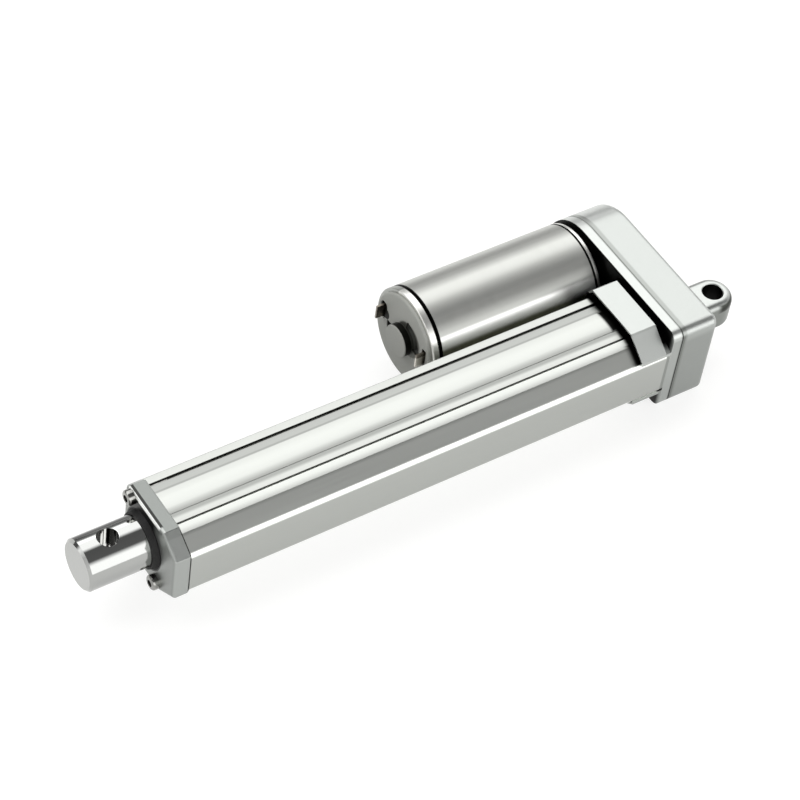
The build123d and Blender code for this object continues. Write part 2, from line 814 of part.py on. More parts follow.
def make_motor_magnets():
    start = rotor_start_x - magnet_overhang
    end = rotor_end_x + magnet_overhang
    arc = ring_sector(magnet_inner_radius, can_inner_radius, magnet_half_angle)
    return [
        prism_x(Pos(motor_y, 0) * Rot(0, 0, angle) * arc, start, end)
        for angle in (90, 270)
    ]


def make_motor_shaft():
    start = idler_start_x - gear_shaft_collar
    end = spigot_start_x + motor_bush_length - gear_shaft_collar
    return cylinder_x(shaft_radius, start, end, motor_y)


def make_motor_pinion():
    outline = Pos(motor_y, 0) * (gear_facing_plus(pinion_teeth) - Circle(shaft_radius))
    return prism_x(outline, idler_start_x, idler_end_x)


def rotor_slot_fill():
    return ring_sector(slot_inner_radius, slot_outer_radius, slot_half_angle)


def make_rotor_core():
    outline = Circle(rotor_radius) - Circle(shaft_radius)
    for index in range(rotor_slots):
        turn = Rot(0, 0, 360 * index / rotor_slots)
        mouth_depth = rotor_radius - slot_outer_radius + slot_mouth_overlap
        mouth = Pos(rotor_radius, 0) * Rectangle(2 * mouth_depth, slot_mouth)
        outline -= turn * (rotor_slot_fill() + mouth)
    return prism_x(Pos(motor_y, 0) * outline, rotor_start_x, rotor_end_x)


def make_rotor_windings():
    coil = ring_x(slot_outer_radius, slot_inner_radius, coil_start_x, rotor_start_x, motor_y)
    coil += ring_x(slot_outer_radius, slot_inner_radius, rotor_end_x, coil_end_x, motor_y)
    middles = ((coil_start_x + rotor_start_x) / 2, (rotor_end_x + coil_end_x) / 2)
    for index in range(rotor_slots):
        turn = Rot(0, 0, 360 * index / rotor_slots)
        fill = Pos(motor_y, 0) * turn * rotor_slot_fill()
        coil += prism_x(fill, *middles)
    return coil


def make_commutator():
    return ring_x(commutator_radius, shaft_radius, commutator_start_x, commutator_end_x, motor_y)


def brush_box(side, margin, start, end):
    low = (start, commutator_radius + brush_gap, -brush_side / 2 - margin)
    high = (end, commutator_radius + brush_gap + brush_length, brush_side / 2 + margin)
    return Pos(0, motor_y, 0) * Rot(90 + 180 * side, 0, 0) * box_between(low, high)


def brush_start_x():
    return commutator_start_x + (commutator_length - brush_side) / 2


def make_motor_brushes():
    start = brush_start_x()
    return [brush_box(side, 0.0, start, start + brush_side) for side in (0, 1)]


def make_motor_brush_holder():
    holder = ring_x(can_inner_radius, brush_card_hole, brush_card_x, spigot_start_x, motor_y)
    start = brush_start_x()
    for side in (0, 1):
        box = brush_box(side, brush_box_wall, start - brush_box_wall, brush_card_x)
        box -= brush_box(side, 0.0, start, start + brush_side)
        holder += box
    return holder


def make_motor_screws():
    head_x = front_wall_x
    length = motor_start_x + motor_screw_grip - head_x
    return [
        pan_screw(
            motor_screw_radius,
            motor_screw_head_radius,
            motor_screw_head_height,
            head_x,
            length,
            motor_y,
            z,
            1,
        )
        for z in (motor_screw_place, -motor_screw_place)
    ]


# The board stands on the outer wall of the channel.
def board_face_y():
    return near_side - channel_wall - board_thickness


def make_limit_switch_board():
    low = (flange_front_x + board_end_gap, board_face_y(), -board_half_height)
    high = (tube_end_x - board_end_gap, board_face_y() + board_thickness, board_half_height)
    return box_between(low, high)


# Each switch has its lever just past the end of the nut's travel.
def make_limit_switches():
    travel_ends = ((nut_start_x - lever_gap, -1), (rod_start_x + stroke + lever_gap, 1))
    switches = []
    for edge, direction in travel_ends:
        case_x = sorted((edge, edge + direction * switch_length))
        lever_x = sorted((edge, edge + direction * lever_thickness))
        case_low = (case_x[0], board_face_y() - switch_height, -switch_half_height)
        case = box_between(case_low, (case_x[1], board_face_y(), switch_half_height))
        lever_low = (lever_x[0], case_low[1] - lever_reach, -lever_half_height)
        switches.append(case + box_between(lever_low, (lever_x[1], case_low[1], lever_half_height)))
    return switches


nodes = {
    "outer_tube": make_outer_tube,
    "front_cap": make_front_cap,
    "front_cap_gasket": make_front_cap_gasket,
    "front_cap_screws": make_front_cap_screws,
    "rod_wiper_seal": make_rod_wiper_seal,
    "rod_guide_bush": make_rod_guide_bush,
    "gear_housing_front": make_gear_housing_front,
    "gear_housing_gasket": make_gear_housing_gasket,
    "gear_housing_rear": make_gear_housing_rear,
    "gear_housing_screws": make_gear_housing_screws,
    "bearing_outer_ring": make_bearing_outer_ring,
    "bearing_balls": make_bearing_balls,
    "bearing_snap_ring": make_bearing_snap_ring,
    "screw_rear_bush": make_screw_rear_bush,
    "idler_pin": make_idler_pin,
    "motor_sleeve": make_motor_sleeve,
    "motor_can": make_motor_can,
    "motor_end_cap": make_motor_end_cap,
    "motor_magnets": make_motor_magnets,
    "motor_front_bush": make_motor_front_bush,
    "motor_rear_bush": make_motor_rear_bush,
    "motor_brush_holder": make_motor_brush_holder,
    "motor_brushes": make_motor_brushes,
    "motor_terminals": make_motor_terminals,
    "motor_screws": make_motor_screws,
    "limit_switch_board": make_limit_switch_board,
    "limit_switches": make_limit_switches,
    "lead_screw": make_lead_screw,
    "screw_gear": make_screw_gear,
    "screw_gear_key": make_screw_gear_key,
    "screw_retaining_ring": make_screw_retaining_ring,
    "bearing_inner_ring": make_bearing_inner_ring,
    "extension_rod": make_extension_rod,
    "drive_nut": make_drive_nut,
    "nut_lock_pins": lambda: [nut_pin(90), nut_pin(-90)],
    "idler_gear": make_idler_gear,
    "motor_shaft": make_motor_shaft,
    "motor_pinion": make_motor_pinion,
    "rotor_core": make_rotor_core,
    "rotor_windings": make_rotor_windings,
    "commutator": make_commutator,
}

for name, make in nodes.items():
    shape = make()
    if isinstance(shape, list):
        shape = Compound(children=shape)
    shape.label = name
    export_step(shape, f"parts/{name}.step")
    print(name, round(shape.volume, 1))
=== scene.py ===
import math

import bpy
from mathutils import Matrix, Vector


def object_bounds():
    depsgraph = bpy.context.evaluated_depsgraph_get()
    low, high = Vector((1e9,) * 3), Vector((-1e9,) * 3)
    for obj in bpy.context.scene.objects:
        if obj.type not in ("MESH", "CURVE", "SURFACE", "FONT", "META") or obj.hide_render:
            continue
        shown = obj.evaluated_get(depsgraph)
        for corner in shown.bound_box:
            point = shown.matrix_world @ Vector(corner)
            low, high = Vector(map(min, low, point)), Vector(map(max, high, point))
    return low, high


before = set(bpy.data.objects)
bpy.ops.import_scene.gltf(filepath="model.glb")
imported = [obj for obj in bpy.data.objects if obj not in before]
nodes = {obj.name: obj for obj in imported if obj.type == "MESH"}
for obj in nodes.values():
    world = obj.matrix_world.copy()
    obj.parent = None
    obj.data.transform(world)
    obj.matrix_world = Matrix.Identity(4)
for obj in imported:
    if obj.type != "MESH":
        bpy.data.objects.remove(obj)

scene = bpy.context.scene
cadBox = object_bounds()
mmPerMetre = 1000.0
print("frame loaded:", len(nodes), "pieces")


# sRGB hex to linear colour.
def linear(hexColor):
    parts = [int(hexColor[i:i + 2], 16) / 255 for i in (1, 3, 5)]
    return [c / 12.92 if c <= 0.04045 else ((c + 0.055) / 1.055) ** 2.4 for c in parts] + [1.0]


# Adds a node, sets its own options, then fills its inputs with values or links.
def addNode(tree, kind, options, inputs):
    node = tree.nodes.new(kind)
    for name, value in options.items():
        setattr(node, name, value)
    for name, value in inputs.items():
        if isinstance(value, bpy.types.NodeSocket):
            tree.links.new(value, node.inputs[name])
        else:
            node.inputs[name].default_value = value
    return node


def newMaterial(name):
    material = bpy.data.materials.new(name)
    material.use_nodes = True
    tree = material.node_tree
    tree.nodes.clear()
    return material, tree


def setStops(ramp, stops):
    while len(ramp.elements) < len(stops):
        ramp.elements.new(0.5)
    for element, (place, tone) in zip(ramp.elements, stops):
        element.position = place
        element.color = (tone, tone, tone, 1)


# Where a pattern lies on the piece, in metres, stretched along each axis.
def placeOnPiece(tree, stretch=(1, 1, 1)):
    coords = addNode(tree, "ShaderNodeTexCoord", {}, {})
    mapping = addNode(tree, "ShaderNodeMapping", {}, {"Vector": coords.outputs["Object"], "Scale": stretch})
    return mapping.outputs["Vector"]


# A place on the piece where a tone is painted, most often painted light or shade, in mm: 1 inside, fading to 0
# outside. It is a box, or a round bore whose "flat" says which axes count, and whose "along" says where it starts and
# ends in x.
farMm = 100.0  # added to the distance past a bore's ends
def markPlace(tree, place):
    spot = addNode(tree, "ShaderNodeTexCoord", {}, {}).outputs["Object"]
    inMm = addNode(tree, "ShaderNodeVectorMath", {"operation": "SCALE"}, {0: spot, "Scale": mmPerMetre})
    offset = addNode(tree, "ShaderNodeVectorMath", {"operation": "SUBTRACT"}, {
        0: inMm.outputs[0], 1: place["middle"]})
    if "bore" in place:
        flat = addNode(tree, "ShaderNodeVectorMath", {"operation": "MULTIPLY"}, {
            0: offset.outputs[0], 1: place.get("flat", (1, 1, 0))})
        reach = addNode(tree, "ShaderNodeVectorMath", {"operation": "LENGTH"}, {0: flat.outputs[0]}).outputs["Value"]
        edge, soft = place["bore"], place["softMm"]
        if "along" in place:
            first, last = place["along"]
            depth = addNode(tree, "ShaderNodeSeparateXYZ", {}, {0: inMm.outputs[0]}).outputs["X"]
            within = addNode(tree, "ShaderNodeMath", {"operation": "COMPARE"}, {
                0: depth, 1: (first + last) / 2, 2: (last - first) / 2})
            beyond = addNode(tree, "ShaderNodeMath", {"operation": "MULTIPLY_ADD"}, {
                0: within.outputs[0], 1: -farMm, 2: farMm})
            reach = addNode(tree, "ShaderNodeMath", {"operation": "ADD"}, {
                0: reach, 1: beyond.outputs[0]}).outputs[0]
    else:
        size = addNode(tree, "ShaderNodeVectorMath", {"operation": "ABSOLUTE"}, {0: offset.outputs[0]})
        past = addNode(tree, "ShaderNodeVectorMath", {"operation": "SUBTRACT"}, {0: size.outputs[0], 1: place["half"]})
        fade = [1 / mm for mm in place["softMm"]]
        faded = addNode(tree, "ShaderNodeVectorMath", {"operation": "MULTIPLY"}, {0: past.outputs[0], 1: fade})
        sides = addNode(tree, "ShaderNodeSeparateXYZ", {}, {0: faded.outputs[0]})
        wide = addNode(tree, "ShaderNodeMath", {"operation": "MAXIMUM"}, {0: sides.outputs[0], 1: sides.outputs[1]})
        reach = addNode(tree, "ShaderNodeMath", {"operation": "MAXIMUM"}, {
            0: wide.outputs[0], 1: sides.outputs[2]}).outputs[0]
        edge, soft = 0.0, 1.0
    mark = addNode(tree, "ShaderNodeMapRange", {"interpolation_type": "SMOOTHSTEP"}, {
        "Value": reach, "From Min": edge, "From Max": edge + soft, "To Min": place.get("share", 1.0), "To Max": 0.0})
    return mark.outputs["Result"]


# Painted highlights and painted shade in lines along an extrusion or a rod: a multiplier for each place sideways, in
# mm from the rod's axis.
def paintedLightBands(tree, color, stops):
    low, high = stops[0][0], stops[-1][0]
    spot = addNode(tree, "ShaderNodeTexCoord", {}, {}).outputs["Object"]
    sideways = addNode(tree, "ShaderNodeSeparateXYZ", {}, {0: spot}).outputs["Y"]
    share = addNode(tree, "ShaderNodeMapRange", {}, {
        "Value": sideways, "From Min": low / mmPerMetre, "From Max": high / mmPerMetre})
    band = addNode(tree, "ShaderNodeValToRGB", {}, {"Fac": share.outputs["Result"]})
    setStops(band.color_ramp, [((place - low) / (high - low), tone) for place, tone in stops])
    return addNode(tree, "ShaderNodeMix", {"data_type": "RGBA", "blend_type": "MULTIPLY"}, {
        0: 1.0, 6: color, 7: band.outputs["Color"]}).outputs[2]


# Metals and plastics here share one way of being built: two close tones mixed by a slow
# cloud, a fine grain in the roughness, and a bump of the same grain.
grainLook = {"cloudDetail": 3.0, "cloudRoughness": 0.55, "detail": 2.0, "roughness": 0.6, "from": 0.3, "to": 0.7}
def makeFinish(name, look):
    material, tree = newMaterial(name)
    where = placeOnPiece(tree, look.get("stretch", (1, 1, 1)))
    cloud = addNode(tree, "ShaderNodeTexNoise", {}, {
        "Vector": where, "Scale": mmPerMetre / look["cloudMm"],
        "Detail": grainLook["cloudDetail"], "Roughness": grainLook["cloudRoughness"]})
    grain = addNode(tree, "ShaderNodeTexNoise", {}, {
        "Vector": where, "Scale": mmPerMetre / look["grainMm"],
        "Detail": grainLook["detail"], "Roughness": grainLook["roughness"]})
    color = addNode(tree, "ShaderNodeMix", {"data_type": "RGBA"}, {
        0: cloud.outputs["Fac"], 6: linear(look["dark"]), 7: linear(look["light"])}).outputs[2]
    # lines of painted highlight and painted shade along the piece
    if "paintedBands" in look:
        color = paintedLightBands(tree, color, look["paintedBands"])
    metal = look["metallic"]
    # tones laid on places of the piece: most are painted highlights and painted shade, a few are dark joints
    for place in look.get("places", []):
        mark = markPlace(tree, place)
        color = addNode(tree, "ShaderNodeMix", {"data_type": "RGBA"}, {
            0: mark, 6: color, 7: linear(place["tone"])}).outputs[2]
        if place.get("paintedShadeNoSheen"):  # places marked so are painted shade on plastic: the material turns metallic there, which takes away its sheen so only the dark tone mirrors
            metal = addNode(tree, "ShaderNodeMath", {"operation": "MAXIMUM"}, {0: metal, 1: mark}).outputs[0]
    low, high = look["roughness"]
    rough = addNode(tree, "ShaderNodeMapRange", {}, {
        "Value": grain.outputs["Fac"], "From Min": grainLook["from"], "From Max": grainLook["to"],
        "To Min": low, "To Max": high})
    bump = addNode(tree, "ShaderNodeBump", {}, {
        "Height": grain.outputs["Fac"], "Strength": look["bump"], "Distance": look["depthMm"] / mmPerMetre})
    shader = addNode(tree, "ShaderNodeBsdfPrincipled", {}, {
        "Base Color": color, "Metallic": metal, "Roughness": rough.outputs["Result"],
        "Normal": bump.outputs["Normal"]})
    for socket in ("IOR", "Coat Weight", "Coat Roughness"):
        if socket in look:
            shader.inputs[socket].default_value = look[socket]
    addNode(tree, "ShaderNodeOutputMaterial", {}, {"Surface": shader.outputs["BSDF"]})
    return material


def dress(material, *names):
    for name in names:
        slots = nodes[name].data.materials
        slots.clear()
        slots.append(material)


# Extruded aluminium, clear anodised: satin, with fine die lines in its grain that run along the tube.
anodisedAluminium = {
    "dark": "#B3B5B1", "light": "#B7B9B5", "metallic": 1.0, "roughness": (0.33, 0.36),
    "cloudMm": 40, "grainMm": 0.9, "bump": 0.04, "depthMm": 0.01, "stretch": (0.02, 1, 1),
    # lines of painted highlight and painted shade along the tube: painted shade in the grooves and beside the bulge,
    # painted highlights on the ridges, the far slant and the near edge
    "paintedBands": [
        (-15.2, 1.25), (-14.7, 1.25), (-14.0, 1.15),                      # far slant
        (-10.3, 1.2), (-10.25, 0.1), (-9.25, 0.1), (-9.2, 0.69), (-6.4, 0.71),  # far ridge and its groove
        (-5.9, 0.55), (-5.2, 0.6), (-4.9, 1.0), (2.5, 1.0), (4.9, 0.66), (6.4, 0.70),  # the bulge
        (7.4, 1.15), (9.05, 1.15), (9.1, 0.1), (10.2, 0.1), (10.25, 1.9), (11.8, 1.8),  # near ridge
        (13.6, 1.25), (14.1, 0.95), (15.0, 1.3), (20.0, 1.3),             # near slant
        (20.3, 2.0), (21.1, 2.0), (21.25, 0.95)],                         # near edge and side
    "places": [
        # painted shade at the flange, on the near side
        {"middle": (36.9, 21.5, -4), "half": (0.5, 0.5, 15), "softMm": (0.4, 0.3, 2), "tone": "#8E918D"},
        # painted shadow in the gap under the hoods: slant, bulge, top and underside
        {"middle": (43, 16.6, 12.6), "half": (7.2, 3.4, 3.6), "softMm": (3.5, 0.6, 1.0), "tone": "#0B0B0A"},
        {"middle": (44, 0, 11), "half": (8.0, 4.6, 8), "softMm": (1.4, 1.4, 1.4), "tone": "#0B0B0A"},
        {"middle": (43, 0, 11), "half": (7.2, 18.6, 8), "softMm": (1.8, 1.8, 1.8), "tone": "#0B0B0A"},
        {"middle": (43, 0, -11), "half": (7.2, 18.6, 8), "softMm": (1.8, 1.8, 1.8), "tone": "#0B0B0A"}]}
dress(makeFinish("anodisedAluminium", anodisedAluminium), "outer_tube")

# Die-cast zinc under silver-grey paint: soft sheen and a fine orange peel of about 1 mm.
paintedCasting = {
    "dark": "#A3A6A3", "light": "#A9ACA9", "metallic": 0.9, "roughness": (0.32, 0.37),
    "cloudMm": 30, "grainMm": 1.1, "bump": 0.06, "depthMm": 0.02,
    "places": [
        # painted light on the tops: rear casting, flange and hoods
        {"middle": (23, 0, 20), "half": (9, 90, 2), "softMm": (0.5, 1, 1), "tone": "#ADB0AD"},
        {"middle": (34, 0, 20), "half": (1.9, 90, 3), "softMm": (0.2, 1, 1), "tone": "#B9BCB9"},
        {"middle": (44, 0, 19), "half": (7, 90, 0.4), "softMm": (0.2, 1, 0.3), "tone": "#B1B4B1"},
        # painted shade on the near side of the rear casting
        {"middle": (22, 21.5, -2), "half": (9, 0.5, 15), "softMm": (0.4, 0.4, 4), "tone": "#949794"},
        # lug: painted shade on its sides, and below its rim
        {"middle": (0, 0, -4), "half": (14.5, 9, 8.4), "softMm": (0.5, 1, 1.6), "tone": "#838682"},
        {"middle": (-5, 5, 4.7), "half": (5, 4, 1.1), "softMm": (3, 3, 0.8), "tone": "#3A3C38"},
        # painted light on the far round end of the rear casting
        {"middle": (27, -52, 13.5), "half": (10.4, 6.5, 5.4), "softMm": (0.8, 2.5, 0.8), "tone": "#D2D5D2"},
        # hoods: painted light on the near slant, and painted shade on the far web
        {"middle": (44, 16, 12.5), "half": (8, 7, 5.5), "softMm": (0.3, 1, 0.5), "tone": "#B7BAB7"},
        {"middle": (48.8, -15.4, 13.4), "half": (0.9, 1.3, 2.2), "softMm": (0.1, 0.4, 0.4), "tone": "#0A0A09"},
        # painted light on the lug's top
        {"middle": (0, 0, 7), "half": (14.5, 5.5, 0.4), "softMm": (0.5, 0.6, 0.4), "tone": "#B6B9B6"},
        # seam between the castings: a dark line on the near side, then a softer band of painted shade all round
        {"middle": (31.4, 21.5, 0), "half": (0.7, 1.0, 17), "softMm": (0.3, 0.5, 1), "tone": "#3A3B37"},
        {"middle": (31.0, 0, 0), "half": (0.9, 90, 90), "softMm": (0.7, 1, 1), "tone": "#878A86", "share": 0.65},
        # painted shade on the boss behind the motor, the flange's front face, the groove behind the hoods and the
        # flange's near edge
        {"middle": (37.2, -40, 0), "half": (1.0, 25, 90), "softMm": (0.1, 1, 1), "tone": "#3A3A32"},
        {"middle": (36.15, -22, 0), "half": (0.25, 41, 90), "softMm": (0.1, 2.5, 1), "tone": "#080807"},
        {"middle": (37.3, 0, 22), "half": (1.0, 17, 24), "softMm": (0.1, 4, 1), "tone": "#080807"},
        {"middle": (36.8, 21.5, -6), "half": (0.4, 1, 13), "softMm": (0.4, 0.5, 2), "tone": "#8A8D89"},
        # painted shade in the lug's bore
        {"middle": (0, 0, 0), "bore": 4.05, "softMm": 0.1, "tone": "#0A0A09"}]}
dress(makeFinish("paintedCasting", paintedCasting), "gear_housing_front", "gear_housing_rear")

# The cap is the same painted casting with its own painted light and shade: painted shade on its top, and a painted
# highlight in a line round its front edge.
capCastingPaintedLight = {
    "dark": "#A3A6A3", "light": "#A9ACA9", "metallic": 0.9, "roughness": (0.32, 0.37),
    "cloudMm": 30, "grainMm": 1.1, "bump": 0.06, "depthMm": 0.02,
    "places": [
        # painted shade on the top, painted light on the near slant, and painted shade on the front face
        {"middle": (245, 0, 16.4), "half": (2.6, 12.0, 0.4), "softMm": (0.4, 0.4, 0.4), "tone": "#7F827F"},
        {"middle": (245.5, 18, 12.5), "half": (3.2, 3.2, 2.8), "softMm": (0.3, 0.5, 0.5), "tone": "#B0B3B0"},
        {"middle": (249.3, 0, 0), "half": (0.5, 90, 90), "softMm": (0.3, 1, 1), "tone": "#939693"},
        # top front edge: a dark line of painted shade, a painted highlight, and painted shade above the seal
        {"middle": (248.05, -1.5, 16.2), "half": (0.45, 10.5, 0.6), "softMm": (0.3, 1, 0.3), "tone": "#343533"},
        {"middle": (248.9, -1.5, 15.3), "half": (0.4, 10.5, 0.5), "softMm": (0.2, 1, 0.2), "tone": "#F0F2EF"},
        {"middle": (249.1, -3, 11.0), "half": (0.3, 8, 3.3), "softMm": (0.2, 3, 0.6), "tone": "#1A1A18"},
        # painted shade round the seal
        {"middle": (249, 0, 0), "bore": 12.1, "flat": (0, 1, 1), "softMm": 0.4, "tone": "#151513"}]}
dress(makeFinish("capCastingPaintedLight", capCastingPaintedLight), "front_cap")

# Hard chrome on a ground steel rod: a mirror with faint grinding rings.
hardChrome = {
    "dark": "#A8A9A7", "light": "#AEAFAD", "metallic": 1.0, "roughness": (0.07, 0.10),
    "cloudMm": 30, "grainMm": 0.5, "bump": 0.03, "depthMm": 0.004, "stretch": (1, 0.05, 0.05),
    # painted reflections along the rod: a dark band and a bright one
    "paintedBands": [(-10.2, 1.0), (-7.4, 1.0), (-6.7, 0.1), (-4.9, 0.1), (-4.4, 0.6), (-4.0, 1.7), (-3.4, 2.2), (-2.0, 2.2),
               (-1.2, 1.0), (10.2, 1.0)],
    "places": [
        # end face in the plain tone, free of the painted bands; then the cross hole, painted bright as a highlight,
        # with two dark streaks of painted shade in it
        {"middle": (275.4, 0, 0), "half": (1.1, 20, 20), "softMm": (0.1, 1, 1), "tone": "#ABACAA"},
        {"middle": (263.8, 0, 0), "bore": 4.05, "softMm": 0.1, "tone": "#F4F4F2"},
        {"middle": (263.8, 0, 0), "bore": 4.05, "along": (264.2, 268), "softMm": 0.1, "tone": "#1A1A18"},
        {"middle": (263.8, 0, 0), "bore": 4.05, "along": (261.2, 262.0), "softMm": 0.1, "tone": "#2A2A28"}]}
dress(makeFinish("hardChrome", hardChrome), "extension_rod")

# Rolled steel sleeve, zinc plated and brushed round the motor.
platedSteel = {
    "dark": "#B2B3AF", "light": "#B7B8B4", "metallic": 1.0, "roughness": (0.37, 0.40),
    "cloudMm": 25, "grainMm": 0.7, "bump": 0.03, "depthMm": 0.01, "stretch": (1, 0.06, 0.06),
    # lighter and darker bands of painted reflection along the sleeve
    "paintedBands": [(-58.8, 1.3), (-50.5, 1.2), (-48.5, 1.0), (-45.5, 1.0), (-44.0, 0.84), (-42.0, 0.84), (-40.0, 1.0),
               (-34.5, 1.0), (-32.0, 1.17), (-29.0, 1.17), (-27.5, 0.9), (-25.4, 0.75), (-24.2, 0.8), (-19.0, 0.9)],
    "places": [
        # a painted highlight in a band low on the near side, painted shade in the band below it, and a dark line at
        # either end
        {"middle": (76, -22.2, 0), "half": (36, 0.8, 14), "softMm": (1, 1.0, 3), "tone": "#FAFAF8"},
        {"middle": (76, -18.6, 5), "half": (40, 1.8, 10), "softMm": (1, 0.7, 3), "tone": "#8C8C7A"},
        {"middle": (111.3, -38.8, 0), "half": (0.45, 30, 30), "softMm": (0.1, 1, 1), "tone": "#0C0C0B"},
        {"middle": (40.5, -38.8, 0), "half": (0.2, 30, 30), "softMm": (0.1, 1, 1), "tone": "#2A2A28"}]}
dress(makeFinish("platedSteel", platedSteel), "motor_sleeve")

# Deep-drawn can, bright nickel plated where its rims show.
nickelPlate = {
    "dark": "#DCDCD8", "light": "#E2E2DE", "metallic": 1.0, "roughness": (0.34, 0.38),
    "cloudMm": 20, "grainMm": 0.8, "bump": 0.05, "depthMm": 0.01,
    "places": [
        # painted shade on the far part of the front rim, and a dark line where the sleeve starts and ends
        {"middle": (114.6, -56.0, 12), "half": (2.6, 8.5, 14), "softMm": (0.2, 1.0, 2), "tone": "#A2A4A0"},
        {"middle": (111.9, -38.8, 0), "half": (0.5, 30, 30), "softMm": (0.1, 1, 1), "tone": "#0C0C0B"},
        {"middle": (40.2, -38.8, 0), "half": (0.35, 30, 30), "softMm": (0.1, 1, 1), "tone": "#2A2A28"}]}
dress(makeFinish("nickelPlate", nickelPlate), "motor_can")

# Moulded glass-filled nylon end cap, grey and matt with a fine spark-eroded texture.
greyNylon = {
    "dark": "#949590", "light": "#9D9E99", "metallic": 0.0, "roughness": (0.5, 0.62), "IOR": 1.53,
    "cloudMm": 12, "grainMm": 0.6, "bump": 0.2, "depthMm": 0.03,
    "places": [
        # painted shade inside the vents and slots, and a lighter painted shade on the walls near the boss
        {"middle": (110, -38.8, 0), "bore": 15.0, "along": (100, 115.9), "flat": (0, 1, 1), "softMm": 0.3,
         "tone": "#0A0A09"},
        {"middle": (110, -38.8, 0), "bore": 9.8, "along": (100, 115.9), "flat": (0, 1, 1), "softMm": 0.1,
         "tone": "#5A5B57"},
        # painted shade in the recess beside the boss, with the plastic's sheen taken away
        {"middle": (116.3, -35.2, 2.7), "bore": 7.0, "along": (115.5, 118.9), "flat": (0, 1, 1), "softMm": 1.0,
         "tone": "#565752", "paintedShadeNoSheen": True},
        # painted shade in the far blade's slot, with the plastic's sheen taken away
        {"middle": (116.3, -52.6, 4.8), "bore": 2.0, "along": (100, 116.5), "flat": (0, 1, 1), "softMm": 0.3,
         "tone": "#1A1A18", "paintedShadeNoSheen": True},
        {"middle": (116.3, -51.0, 2.2), "bore": 2.3, "along": (100, 116.5), "flat": (0, 1, 1), "softMm": 0.3,
         "tone": "#1A1A18", "paintedShadeNoSheen": True},
        # painted shade on the side of the boss
        {"middle": (117.8, -38.8, 0), "half": (1.2, 8, 8), "softMm": (0.15, 1, 1), "tone": "#20211E"}]}
dress(makeFinish("greyNylon", greyNylon), "motor_end_cap")

# Nitrile rubber, moulded: near black with a dull sheen.
nitrileRubber = {
    "dark": "#050505", "light": "#0A0A09", "metallic": 0.0, "roughness": (0.65, 0.8), "IOR": 1.52,
    "cloudMm": 8, "grainMm": 0.5, "bump": 0.2, "depthMm": 0.02}
dress(makeFinish("nitrileRubber", nitrileRubber), "rod_wiper_seal")

# Screws in black-chromated zinc plate: dark, with bright spots of painted highlight mixed in by the cloud.
blackenedSteel = {
    "dark": "#161615", "light": "#C4C4C0", "metallic": 1.0, "roughness": (0.1, 0.16),
    "cloudMm": 2, "grainMm": 0.4, "bump": 0.08, "depthMm": 0.01}
dress(makeFinish("blackenedSteel", blackenedSteel), "front_cap_screws", "gear_housing_screws", "motor_screws")

# Tinned brass blades, stamped, with a painted highlight on the near one.
tinnedBrass = {
    "dark": "#5C564E", "light": "#8C867C", "metallic": 1.0, "roughness": (0.25, 0.38),
    "cloudMm": 5, "grainMm": 0.5, "bump": 0.06, "depthMm": 0.01,
    # painted highlight on the near blade
    "places": [{"middle": (118.5, -25, 1), "half": (3, 3, 3), "softMm": (0.5, 0.5, 0.5), "tone": "#C9C5BC"}]}
dress(makeFinish("tinnedBrass", tinnedBrass), "motor_terminals")

# Turned steel, with fine tool rings.
turnedSteel = {
    "dark": "#8E8E8C", "light": "#A3A3A0", "metallic": 1.0, "roughness": (0.22, 0.34),
    "cloudMm": 15, "grainMm": 0.4, "bump": 0.08, "depthMm": 0.01, "stretch": (1, 0.08, 0.08)}
dress(makeFinish("turnedSteel", turnedSteel), "lead_screw", "motor_shaft", "motor_pinion", "idler_pin",
      "nut_lock_pins", "screw_gear_key", "screw_retaining_ring", "bearing_snap_ring")

# Ground bearing steel: nearly a mirror.
bearingSteel = {
    "dark": "#B4B5B6", "light": "#C2C3C4", "metallic": 1.0, "roughness": (0.08, 0.14),
    "cloudMm": 8, "grainMm": 0.3, "bump": 0.02, "depthMm": 0.004}
dress(makeFinish("bearingSteel", bearingSteel), "bearing_outer_ring", "bearing_inner_ring", "bearing_balls")

# Sintered bronze with open pores: a dull, pitted brown.
sinteredBronze = {
    "dark": "#8A6236", "light": "#A87C4A", "metallic": 1.0, "roughness": (0.38, 0.52),
    "cloudMm": 2, "grainMm": 0.25, "bump": 0.3, "depthMm": 0.03}
dress(makeFinish("sinteredBronze", sinteredBronze), "screw_rear_bush", "motor_front_bush", "motor_rear_bush")

# Acetal, moulded in its natural off-white: waxy.
acetal = {
    "dark": "#D6D2C4", "light": "#E2DFD3", "metallic": 0.0, "roughness": (0.34, 0.46), "IOR": 1.48,
    "cloudMm": 10, "grainMm": 0.5, "bump": 0.08, "depthMm": 0.01}
dress(makeFinish("acetal", acetal), "screw_gear", "idler_gear", "drive_nut")

# Black nylon, moulded: matt.
blackNylon = {
    "dark": "#1E1E1E", "light": "#292929", "metallic": 0.0, "roughness": (0.4, 0.55), "IOR": 1.53,
    "cloudMm": 8, "grainMm": 0.5, "bump": 0.15, "depthMm": 0.02}
dress(makeFinish("blackNylon", blackNylon), "rod_guide_bush", "motor_brush_holder", "limit_switches")

# Hard ferrite: dark, dense and slightly glittering where it was pressed.
hardFerrite = {
    "dark": "#2B2B2D", "light": "#38383A", "metallic": 0.2, "roughness": (0.45, 0.6), "IOR": 2.0,
    "cloudMm": 3, "grainMm": 0.2, "bump": 0.2, "depthMm": 0.02}
dress(makeFinish("hardFerrite", hardFerrite), "motor_magnets")

# Pressed carbon and copper brush: nearly black, with a faint glint.
carbonBrush = {
    "dark": "#232120", "light": "#33302D", "metallic": 0.3, "roughness": (0.4, 0.55), "IOR": 1.8,
    "cloudMm": 2, "grainMm": 0.2, "bump": 0.15, "depthMm": 0.02}
dress(makeFinish("carbonBrush", carbonBrush), "motor_brushes")

